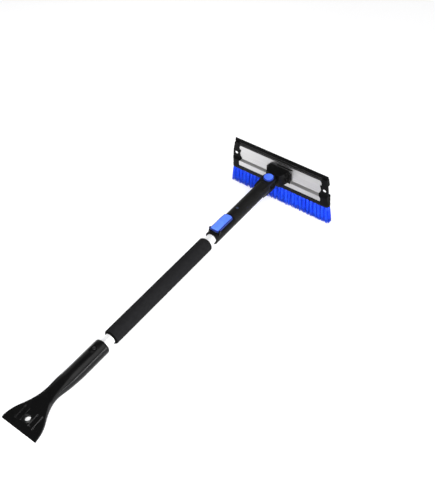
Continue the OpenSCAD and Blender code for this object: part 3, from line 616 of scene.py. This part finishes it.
class BROOM_OT_bristles(bpy.types.Operator):
    """Plants the tufts of bristles in the brush back"""

    bl_idname = "broom.bristles"
    bl_label = "Bristles"

    def execute(self, context):
        sizes, colours = context.scene.broom_sizes, context.scene.broom_colours
        rng = random.Random(TUFT_SEED)
        box = reach("bristles")
        low, high = box
        middle = (low.x + high.x) / 2
        pitch = (high.y - low.y - 2 * sizes.tuft_tip) / (sizes.tuft_columns - 1)
        row_gap = (high.x - low.x - 2 * sizes.tuft_tip) / max(1, sizes.tuft_rows - 1)
        points, faces, shades = [], [], []
        for column in range(sizes.tuft_columns):
            tuft_y = low.y + sizes.tuft_tip + column * pitch
            for row in range(sizes.tuft_rows):
                tuft_x = middle + (row - (sizes.tuft_rows - 1) / 2) * row_gap
                tuft_shade = rng.uniform(-TUFT_SHADE_STRAY, TUFT_SHADE_STRAY)
                for _ in range(sizes.strands):
                    rings, tones = self.strand(sizes, rng, (tuft_x, tuft_y), box, tuft_shade)
                    ring_points, ring_faces = skin(rings)
                    first = len(points)
                    faces += [tuple(first + index for index in face) for face in ring_faces]
                    points += ring_points
                    shades += tones
        mesh = mesh_of("bristle_tufts", points, faces)
        carry(mesh, "strand", shades)
        fibre = bristle_fibre(colours.bristle_painted_shade, colours.bristle, colours.bristle_light)
        new_piece("bristle_tufts", mesh, "head", fibre, "bristle", "bristles")
        return {"FINISHED"}

    def strand(self, sizes, rng, tuft, box, tuft_shade):
        """Rings of a bristle from its tip up, leaning out from its tuft, and its shade there."""
        low, high = box
        width = sizes.strand_width / 2
        out = rng.random() ** RIM_CROWD
        turn = rng.uniform(0, 2 * math.pi)
        spoke = X * math.cos(turn) + Y * math.sin(turn)
        root = Vector((*tuft, high.z)) + spoke * out * sizes.tuft_root
        tip = Vector((*tuft, low.z)) + spoke * out * (sizes.tuft_tip - width)
        tip.y *= 1 + sizes.flare / high.y
        tip.z += sizes.tuft_dome * out * out + rng.uniform(0, sizes.tip_play)
        tip.x = min(max(tip.x, low.x + width), high.x - width)
        tip.y += rng.uniform(-TIP_STRAY, TIP_STRAY)
        bow = X * rng.uniform(-BOW_UP_HANDLE, BOW_UP_HANDLE)
        bow += Y * rng.uniform(-BOW_ALONG_HEAD, BOW_ALONG_HEAD)
        # Painted highlight along the tuft's middle and painted shade at its rim
        painted_ridge = sizes.painted_ridge * (RIDGE_LEVEL - (out * spoke.y) ** 2)
        shade = rng.gauss(STRAND_SHADE, STRAND_SHADE_SPREAD) + tuft_shade + painted_ridge
        shade = min(1, max(0, shade))
        rings, tones = [], []
        for ring in range(STRAND_RINGS):
            up = ring / (STRAND_RINGS - 1)
            centre = tip.lerp(root, up) + bow * math.sin(math.pi * up)
            thick = width * (1 - STRAND_TAPER * (1 - up))
            rings.append(circle(centre, thick, X, Y, STRAND_SIDES, turn))
            # Painted shade: each bristle darkens towards its root
            tones += [shade * (1 - ROOT_PAINTED_SHADE * up)] * STRAND_SIDES
        return rings, tones


class BROOM_OT_grip(bpy.types.Operator):
    """Builds the foam sleeve on the handle"""

    bl_idname = "broom.grip"
    bl_label = "Foam grip"

    def execute(self, context):
        sizes, colours = context.scene.broom_sizes, context.scene.broom_colours
        low, high = reach("foam_grip")
        bore = half_width("outer_tube") + FOAM_ROOM
        spokes = circle(Vector(), 1, Y, Z, ROUND_SIDES)
        rings = []
        for x, radius in self.profile(low.x, high.x, bore, sizes.foam_round):
            swell = sizes.foam_swell if radius > bore + FOAM_SMOOTH else 0
            ring = []
            for spoke in spokes:
                wave = noise.noise((X * x + spoke * radius) * FOAM_WAVES)
                ring.append(X * x + spoke * (radius + swell * (wave - 1)))
            rings.append(ring)
        mesh = mesh_of("foam_sleeve", *skin(rings, looped=True))
        # Painted shade: points near either end get the dark colour
        inward = [min(vertex.co.x - low.x, high.x - vertex.co.x) for vertex in mesh.vertices]
        cut = [min(1, max(0, (sizes.foam_end_shade - depth) / END_SHADE_FADE)) for depth in inward]
        carry(mesh, "end", cut)
        foam = foam_skin(colours.foam, colours.foam_end_shade)
        grip = new_piece("foam_sleeve", mesh, "handle", foam, "foam", "foam_grip")
        return {"FINISHED"}

    def profile(self, low, high, bore, rounding):
        """Half of the sleeve's long section, as places along it and radii: bore, skin, bore."""
        radius = half_width("foam_grip")
        centre = (low + rounding, radius - rounding)
        near_end = [(low, bore), *arc(centre, rounding, math.pi, math.pi / 2, FOAM_END_STEPS)]
        straight = high - low - 2 * rounding
        return [
            *near_end,
            *((centre[0] + straight * step / FOAM_STEPS, radius) for step in range(1, FOAM_STEPS)),
            *((low + high - x, r) for x, r in reversed(near_end)),
        ]


class BROOM_OT_metal(bpy.types.Operator):
    """Gives the head plate and the tubes their drawn aluminium finish"""

    bl_idname = "broom.metal"
    bl_label = "Aluminium"

    def execute(self, context):
        sizes, colours = context.scene.broom_sizes, context.scene.broom_colours
        plate = aluminium("plate_aluminium", colours.aluminium, 0.33, stretch=(500, 9, 500))
        dress(plate, sizes.metal_edge, "head_plate")
        stretch = (12, 1200, 1200)
        tube = aluminium("tube_aluminium", colours.tube, 0.30, stretch, metallic=0.45)
        dress(tube, 0, "outer_tube", "inner_tube")
        return {"FINISHED"}


class BROOM_OT_plastics(bpy.types.Operator):
    """Gives the moulded pieces their finishes, and the lever and button their pads"""

    bl_idname = "broom.plastics"
    bl_label = "Moulded pieces"

    def execute(self, context):
        sizes, colours = context.scene.broom_sizes, context.scene.broom_colours
        black = moulded("black_moulding", colours.black, roughness=0.42)
        carrier = edge_highlight_moulding("carrier_moulding", colours.black, colours.edge_highlight, 0.42)
        neck = moulded("neck_moulding", colours.neck, roughness=0.42)
        cap = moulded("cap_moulding", colours.cap, roughness=0.50, gloss=0.05)
        # The lever and button bodies carry painted shade on their sides; their pads carry the lit
        # blue
        lever = moulded("lever_moulding", colours.lever_shade, roughness=0.40)
        button = moulded("button_moulding", colours.button_shade, roughness=0.40)
        nylon = moulded("nylon", colours.nylon, roughness=0.40)
        shoe = moulded("shoe_nylon", colours.shoe, roughness=0.45)
        scraper = scraper_plastic(colours.scraper, colours.rib_highlight, sizes.rib_zone)
        dress(black, sizes.edge, "pivot_bracket", "clamp_housing", "brush_back")
        dress(black, 0, "plate_strip")
        dress(carrier, sizes.edge, "squeegee_carrier")
        dress(neck, sizes.edge, "neck")
        dress(cap, sizes.edge, "end_cap_left", "end_cap_right")
        dress(lever, sizes.edge, "clamp_lever")
        dress(button, sizes.edge, "pivot_button")
        self.lever_pad(sizes, colours.lever)
        self.button_pad(sizes, colours.button)
        dress(scraper, 0, "scraper")
        dress(nylon, 0, "guide_bush", "swivel_washers")
        dress(shoe, 0, "brake_shoe")
        return {"FINISHED"}

    def lever_pad(self, sizes, base):
        """A thin pad on the lever's back: straight sides, and an arc round the nose."""
        low, high = reach("clamp_lever")
        half, corner = high.y - sizes.pad_in, sizes.pad_corner
        nose = high.y * NOSE_TO_HALF
        nose_x, nose_r = high.x - nose, nose - sizes.pad_in
        side_x = low.x + sizes.pad_in + corner
        nose_start = math.asin(half / nose_r)
        run = nose_x + nose_r * math.cos(nose_start) - side_x
        outline = [
            *arc((side_x, half - corner), corner, math.pi, math.pi / 2, CORNER_STEPS),
            *((side_x + run * step / SIDE_STEPS, half) for step in range(1, SIDE_STEPS)),
            *arc((nose_x, 0), nose_r, nose_start, NOSE_STOP, NOSE_STEPS),
        ]
        faces = [polygon.vertices for polygon in NODES["clamp_lever"].data.polygons]
        back = BVHTree.FromPolygons(corners("clamp_lever"), faces)
        rings = []
        for x, width in outline:
            top = back.ray_cast(Vector((x, 0, high.z + MM)), -Z)[0].z
            foot, head = top - sizes.pad_rise / 2, top + sizes.pad_rise
            section = ((-width, foot), (width, foot), (width, head), (-width, head))
            rings.append([Vector((x, y, z)) for y, z in section])
        self.pad("lever_pad", rings, "lever", base, sizes.pad_rise)

    def button_pad(self, sizes, base):
        """A thin round pad on the release button."""
        low, high = reach("pivot_button")
        radius = high.y - sizes.button_pad_in
        middle = (low + high) / 2
        rings = []
        for z in (high.z - sizes.pad_rise / 2, high.z + sizes.pad_rise):
            centre = Vector((middle.x, middle.y, z))
            rings.append(circle(centre, radius, X, Y, ROUND_SIDES))
        self.pad("button_pad", rings, "button", base, sizes.pad_rise)

    def pad(self, name, rings, body, base, rise):
        """Skins a pad over its rings and rounds its rim a little."""
        mesh = mesh_of(name, *skin(rings), smooth=False)
        finish = moulded(f"{name}_moulding", base, roughness=0.40, scale=2200, height=0.03 * MM)
        small_edges(new_piece(name, mesh, body, finish, "blue_plastic"), rise * PAD_ROUND)


class BROOM_OT_fasteners(bpy.types.Operator):
    """Gives the screws, pins, nut and spring their plating"""

    bl_idname = "broom.fasteners"
    bl_label = "Fasteners"

    def execute(self, context):
        sizes, colours = context.scene.broom_sizes, context.scene.broom_colours
        steel = plated("zinc_steel", colours.steel, 0.32)
        dress(steel, 0, "bracket_screws", "pivot_axle", "axle_nut")
        self.spring(sizes, steel)
        dark = plated("black_steel", colours.dark_steel, 0.42)
        dress(dark, 0, "housing_screw", "scraper_screw", "lever_pin")
        dress(plated("blued_steel", colours.blued_steel, 0.40), 0, "neck_screw")
        return {"FINISHED"}

    def spring(self, sizes, material):
        """The coil under the button, with flat ends."""
        low, high = reach("pivot_spring")
        tall = high.z - low.z
        wire = sizes.spring_wire / 2
        coil = half_width("pivot_spring") - wire
        foot = (low + high) / 2
        foot.z = low.z + wire
        steps = int(sizes.spring_turns * STEPS_PER_TURN)
        rings = []
        for step in range(steps + 1):
            turn = 2 * math.pi * step / STEPS_PER_TURN
            rise = min(1, max(0, (step / steps - SPRING_FLAT) / (1 - 2 * SPRING_FLAT)))
            spoke = X * math.cos(turn) + Y * math.sin(turn)
            middle = foot + Z * (tall - 2 * wire) * rise + spoke * coil
            rings.append(circle(middle, wire, spoke, Z, SPRING_SIDES))
        mesh = mesh_of("spring_coil", *skin(rings))
        piece = new_piece("spring_coil", mesh, "extension", material, "steel", "pivot_spring")
        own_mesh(piece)


class BROOM_OT_squeegee(bpy.types.Operator):
    """Gives the squeegee blade its rubber"""

    bl_idname = "broom.squeegee"
    bl_label = "Squeegee"

    def execute(self, context):
        sizes, colours = context.scene.broom_sizes, context.scene.broom_colours
        dress(rubber(colours.rubber), sizes.rubber_edge, "squeegee_blade")
        return {"FINISHED"}


class BROOM_OT_stage(bpy.types.Operator):
    """Sets the floor, the lights and the camera"""

    bl_idname = "broom.stage"
    bl_label = "Stage"

    def execute(self, context):
        self.floor(context.scene.broom_colours.floor)
        self.world()
        for lamp in LAMPS:
            self.lamp(*lamp)
        self.camera()
        context.scene.view_settings.view_transform = "Standard"
        return {"FINISHED"}

    def floor(self, base):
        """Pale floor that glows: white to the camera, and unevenly to metal and gloss."""
        bpy.ops.mesh.primitive_plane_add(size=FLOOR_SIZE, location=(0, 0, 0))
        floor = bpy.context.object
        floor.name = "floor"
        paint = Finish("floor_paint", base, roughness=0.9)
        paint.tint(paint.noise(3), base, by=0.01)
        sideways = paint.axis(paint.place, "Y")
        slope = paint.spread(sideways, GLOW_RIGHT, GLOW_LEFT, *GLOW_CHANGE)
        mirrored = paint.spread(paint.rays("Glossy", "Transmission"), 0.0, slope)
        strength = paint.spread(paint.rays("Camera"), mirrored, FLOOR_GLOW)
        glow = paint.node("ShaderNodeEmission")
        glow.inputs["Color"].default_value = WHITE
        paint.feed(strength, glow.inputs["Strength"])
        both = paint.node("ShaderNodeAddShader")
        paint.feed(paint.shader.outputs["BSDF"], both.inputs[0])
        paint.feed(glow.outputs["Emission"], both.inputs[1])
        paint.feed(both.outputs["Shader"], paint.tree.nodes["Material Output"].inputs["Surface"])
        floor.data.materials.append(paint.material)

    def world(self):
        """White all round; metal and glass see it up to the ceiling, which is dim."""
        world = bpy.data.worlds.new("studio")
        bpy.context.scene.world = world
        world.use_nodes = True
        studio = Nodes(world.node_tree)
        height = studio.axis(studio.coordinates("Generated"), "Z")
        wall = studio.spread(height, 1.0, CEILING_GLOW, WALL_TOP, CEILING)
        light = studio.spread(studio.rays("Glossy", "Transmission"), SOFT_LIGHT, wall)
        strength = studio.spread(studio.rays("Camera"), light, 1.0)
        sky = studio.tree.nodes["Background"]
        sky.inputs["Color"].default_value = WHITE
        studio.feed(strength, sky.inputs["Strength"])

    def lamp(self, name, place, size, power):
        light = bpy.data.lights.new(name, "AREA")
        light.shape = "RECTANGLE"
        light.size, light.size_y = size
        light.energy = power
        lamp = bpy.data.objects.new(name, light)
        bpy.context.scene.collection.objects.link(lamp)
        lamp.location = place
        lamp.rotation_euler = (LAMP_AIM - Vector(place)).to_track_quat("-Z", "Y").to_euler()

    def camera(self):
        """Above and beside the foot of the handle, looking up it towards the head."""
        data = bpy.data.cameras.new("camera")
        data.lens = CAMERA_LENS
        data.sensor_width = 36
        camera = bpy.data.objects.new("camera", data)
        bpy.context.scene.collection.objects.link(camera)
        turned = (CAMERA_AIM - CAMERA_PLACE).to_track_quat("-Z", "Y").to_matrix().to_4x4()
        rolled = turned @ Matrix.Rotation(CAMERA_ROLL, 4, "Z")
        camera.matrix_world = AXES @ Matrix.Translation(CAMERA_PLACE) @ rolled
        bpy.context.scene.camera = camera


class BROOM_PT_panel(bpy.types.Panel):
    """Lists the steps that dress the broom"""

    bl_idname = "BROOM_PT_panel"
    bl_label = "Snow broom"
    bl_space_type = "VIEW_3D"
    bl_region_type = "UI"
    bl_category = "Snow broom"

    def draw(self, context):
        for step in STEPS:
            self.layout.operator(step.bl_idname)
        for group in (context.scene.broom_sizes, context.scene.broom_colours):
            box = self.layout.box()
            for key in group.bl_rna.properties.keys():
                if key not in ("rna_type", "name"):
                    box.prop(group, key)


STEPS = (
    BROOM_OT_bristles,
    BROOM_OT_grip,
    BROOM_OT_metal,
    BROOM_OT_plastics,
    BROOM_OT_fasteners,
    BROOM_OT_squeegee,
    BROOM_OT_stage,
)
CLASSES = (BroomSizes, BroomColours, *STEPS, BROOM_PT_panel)


def register():
    for made in CLASSES:
        bpy.utils.register_class(made)
    bpy.types.Scene.broom_sizes = PointerProperty(type=BroomSizes)
    bpy.types.Scene.broom_colours = PointerProperty(type=BroomColours)


def unregister():
    del bpy.types.Scene.broom_colours
    del bpy.types.Scene.broom_sizes
    for made in reversed(CLASSES):
        bpy.utils.unregister_class(made)


def main():
    register()
    bpy.ops.broom.bristles()
    bpy.ops.broom.grip()
    bpy.ops.broom.metal()
    bpy.ops.broom.plastics()
    bpy.ops.broom.fasteners()
    bpy.ops.broom.squeegee()
    bpy.ops.broom.stage()


if __name__ == "__main__":
    main()
